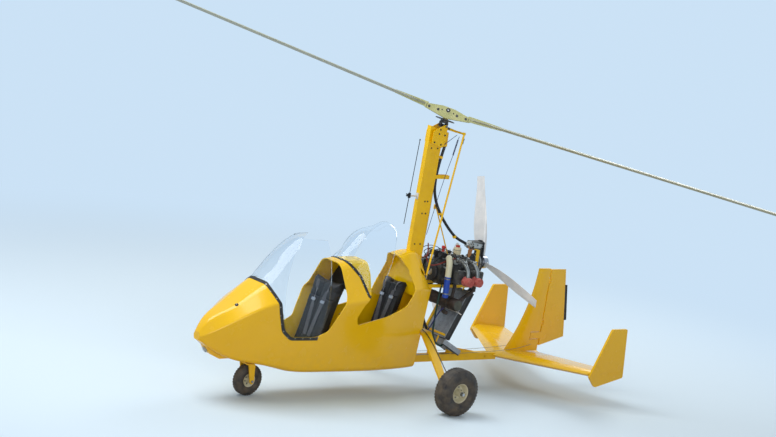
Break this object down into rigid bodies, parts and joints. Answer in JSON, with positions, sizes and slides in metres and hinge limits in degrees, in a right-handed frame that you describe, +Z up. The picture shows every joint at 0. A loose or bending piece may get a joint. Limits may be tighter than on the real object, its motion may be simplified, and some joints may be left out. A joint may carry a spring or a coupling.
{
  "type": "gyrocopter",
  "caption": "Open tandem gyrocopter with teetering rotor on a mast, pusher propeller, open cockpits with screens, spring leg wheels and tail with rudder.",
  "frame": {"origin": "on the ground under the middle of the whole box, 49 mm aft of the middle of the rotor hub", "axes": "+X aft, +Y to starboard, +Z up"},
  "size_m": [5.8517, 5.9058, 3.6593],
  "materials": {
    "yellow_shell": "gloss",
    "yellow_tail": "gloss",
    "yellow_frame": "satin",
    "screen_glass": "gloss",
    "screen_frame": "satin",
    "tyre_rubber": "matte",
    "rim_cream": "satin",
    "axle_steel": "satin",
    "head_steel": "satin",
    "hub_alloy": "satin",
    "blade_skin": "gloss",
    "prop_skin": "gloss",
    "prop_alloy": "satin",
    "engine_alloy": "satin",
    "intake_alloy": "satin",
    "filter_red": "matte",
    "exhaust_black": "matte",
    "cooler_core": "satin",
    "bottle_cream": "satin",
    "hose_blue": "satin",
    "seat_cover": "matte",
    "black_rubber": "satin",
    "black_plastic": "matte",
    "control_steel": "satin"
  },
  "bodies": {
    "airframe": {"tub_shell": "yellow_shell", "mast_fairing": "yellow_shell", "centre_pod": "yellow_shell", "chin_lamp": "yellow_shell", "stabiliser": "yellow_tail", "tip_fins": "yellow_tail", "centre_fin": "yellow_tail", "keel_tube": "yellow_frame", "keel_braces": "yellow_frame", "mast": "yellow_frame", "nose_gear_carrier": "yellow_frame", "gear_clamps": "yellow_frame", "gear_legs": "yellow_frame", "head_plates": "yellow_frame", "engine_mount": "yellow_frame", "shaft_bracket": "yellow_frame", "windscreen_front": "screen_glass", "windscreen_rear": "screen_glass", "screen_frames": "screen_frame", "main_axles": "axle_steel", "head_drive": "head_steel", "crankcase": "engine_alloy", "gearbox": "engine_alloy", "cylinders": "engine_alloy", "intake_pipes": "intake_alloy", "air_filters": "filter_red", "exhaust": "exhaust_black", "radiator": "cooler_core", "oil_cooler": "cooler_core", "coolant_bottle": "bottle_cream", "coolant_hose": "hose_blue", "seat_cushions": "seat_cover", "seat_backs": "seat_cover", "flex_shaft": "black_rubber", "antenna": "black_plastic", "instrument_panels": "black_plastic", "seat_bases": "black_plastic", "control_sticks": "control_steel", "rudder_pedals": "control_steel"},
    "nose_fork": {"nose_fork": "yellow_frame", "nose_axle": "axle_steel"},
    "nose_wheel": {"nose_tyre": "tyre_rubber", "nose_rim": "rim_cream"},
    "wheel_port": {"tyre_port": "tyre_rubber", "rim_port": "rim_cream"},
    "wheel_starboard": {"tyre_starboard": "tyre_rubber", "rim_starboard": "rim_cream"},
    "gimbal": {"gimbal_block": "head_steel"},
    "torque_head": {"torque_head": "head_steel"},
    "rotor_tower": {"teeter_tower": "hub_alloy", "starter_ring": "head_steel"},
    "rotor": {"rotor_hub": "hub_alloy", "rotor_blades": "blade_skin"},
    "control_rod_port": {"control_rod_port": "yellow_frame"},
    "control_rod_starboard": {"control_rod_starboard": "yellow_frame"},
    "propeller": {"prop_hub": "prop_alloy", "prop_blades": "prop_skin"},
    "rudder": {"rudder": "yellow_tail", "trim_tab": "black_plastic"}
  },
  "joints": [
    {"name": "nose_steer", "type": "hinge", "parent": "airframe", "child": "nose_fork", "pos_m": [-1.9793, 0, 0.43], "axis": [0, 0, 1], "range_deg": [-28, 28]},
    {"name": "nose_wheel_spin", "type": "hinge", "parent": "nose_fork", "child": "nose_wheel", "pos_m": [-1.9443, 0, 0.15], "axis": [0, 1, 0], "continuous": true},
    {"name": "wheel_port_spin", "type": "hinge", "parent": "airframe", "child": "wheel_port", "pos_m": [-0.1303, -0.87, 0.2275], "axis": [0, 1, 0], "continuous": true},
    {"name": "wheel_starboard_spin", "type": "hinge", "parent": "airframe", "child": "wheel_starboard", "pos_m": [-0.1303, 0.87, 0.2275], "axis": [0, 1, 0], "continuous": true},
    {"name": "rotor_head_pitch", "type": "hinge", "parent": "airframe", "child": "gimbal", "pos_m": [-0.08027, 0, 2.6078], "axis": [0, 1, 0], "range_deg": [-14, 4]},
    {"name": "rotor_head_roll", "type": "hinge", "parent": "gimbal", "child": "torque_head", "pos_m": [-0.08027, 0, 2.6078], "axis": [0.9703, 0, -0.2419], "range_deg": [-9, 9]},
    {"name": "rotor_spin", "type": "hinge", "parent": "torque_head", "child": "rotor_tower", "pos_m": [-0.0493, 0, 2.732], "axis": [0.2419, 0, 0.9703], "continuous": true},
    {"name": "rotor_teeter", "type": "hinge", "parent": "rotor_tower", "child": "rotor", "pos_m": [-0.04301, 0, 2.75723], "axis": [0.6861, 0.7071, -0.1711], "range_deg": [-8, 8]},
    {"name": "control_rod_port_swing", "type": "hinge", "parent": "gimbal", "child": "control_rod_port", "pos_m": [0.08566, -0.138, 2.56231], "axis": [0, 1, 0], "range_deg": [-4, 14]},
    {"name": "control_rod_starboard_swing", "type": "hinge", "parent": "gimbal", "child": "control_rod_starboard", "pos_m": [0.08566, 0.138, 2.56231], "axis": [0, 1, 0], "range_deg": [-4, 14]},
    {"name": "propeller_spin", "type": "hinge", "parent": "airframe", "child": "propeller", "pos_m": [0.7707, 0, 1.27], "axis": [1, 0, 0], "continuous": true},
    {"name": "rudder_turn", "type": "hinge", "parent": "airframe", "child": "rudder", "pos_m": [1.7607, 0, 0.8], "axis": [0, 0, 1], "range_deg": [-28, 28]}
  ],
  "couplings": [
    {"joint": "control_rod_port_swing", "follows": "rotor_head_pitch", "ratio": -1},
    {"joint": "control_rod_starboard_swing", "follows": "rotor_head_pitch", "ratio": -1}
  ]
}
